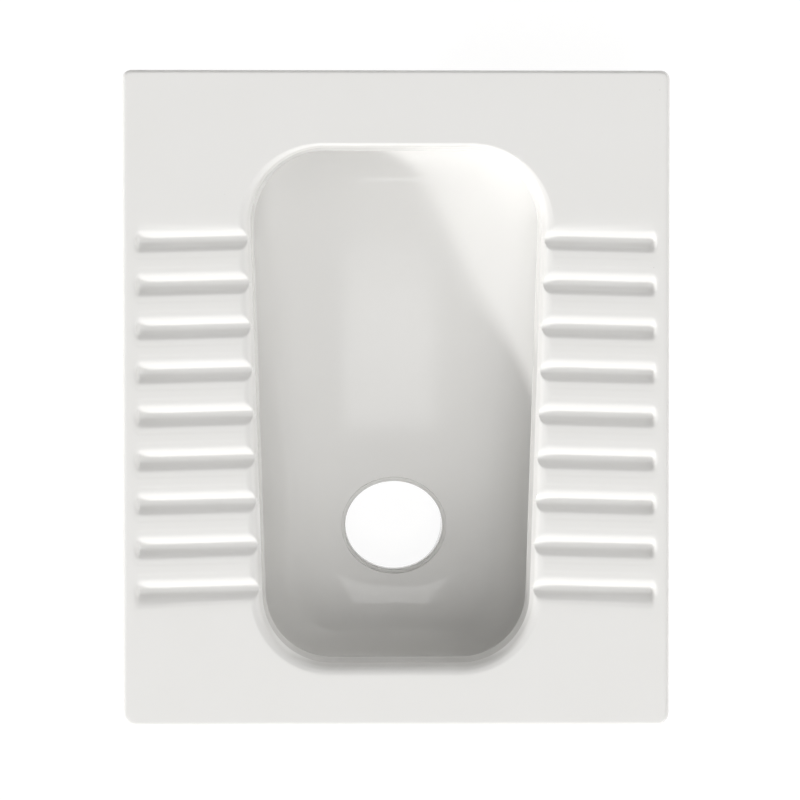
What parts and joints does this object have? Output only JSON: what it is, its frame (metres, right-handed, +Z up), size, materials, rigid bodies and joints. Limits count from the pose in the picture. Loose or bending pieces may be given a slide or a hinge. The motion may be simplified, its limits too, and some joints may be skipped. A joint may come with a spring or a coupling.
{
  "type": "squat toilet pan",
  "caption": "White glazed china squat toilet pan for setting flush in a floor, with a grooved foot plate, a tapered bowl under a flush rim, a round drain spigot and a flush inlet.",
  "frame": {"origin": "on the ground under the middle of the foot plate: the end of the outlet spigot and the support foot stand on it", "axes": "+X across the pan, +Y along it towards the shallow end with the flush inlet, +Z up"},
  "size_m": [0.5, 0.6, 0.21],
  "materials": {
    "china": "white vitreous china with a clear gloss glaze",
    "rubber": "matt black EPDM rubber"
  },
  "bodies": {
    "root": {"deck": "china", "flush_rim": "china", "basin": "china", "outlet_spigot": "china", "outlet_seal": "rubber", "inlet_horn": "china", "inlet_grommet": "rubber", "left_front_web": "china", "left_rear_web": "china", "right_front_web": "china", "right_rear_web": "china", "support_foot": "china"}
  },
  "joints": []
}
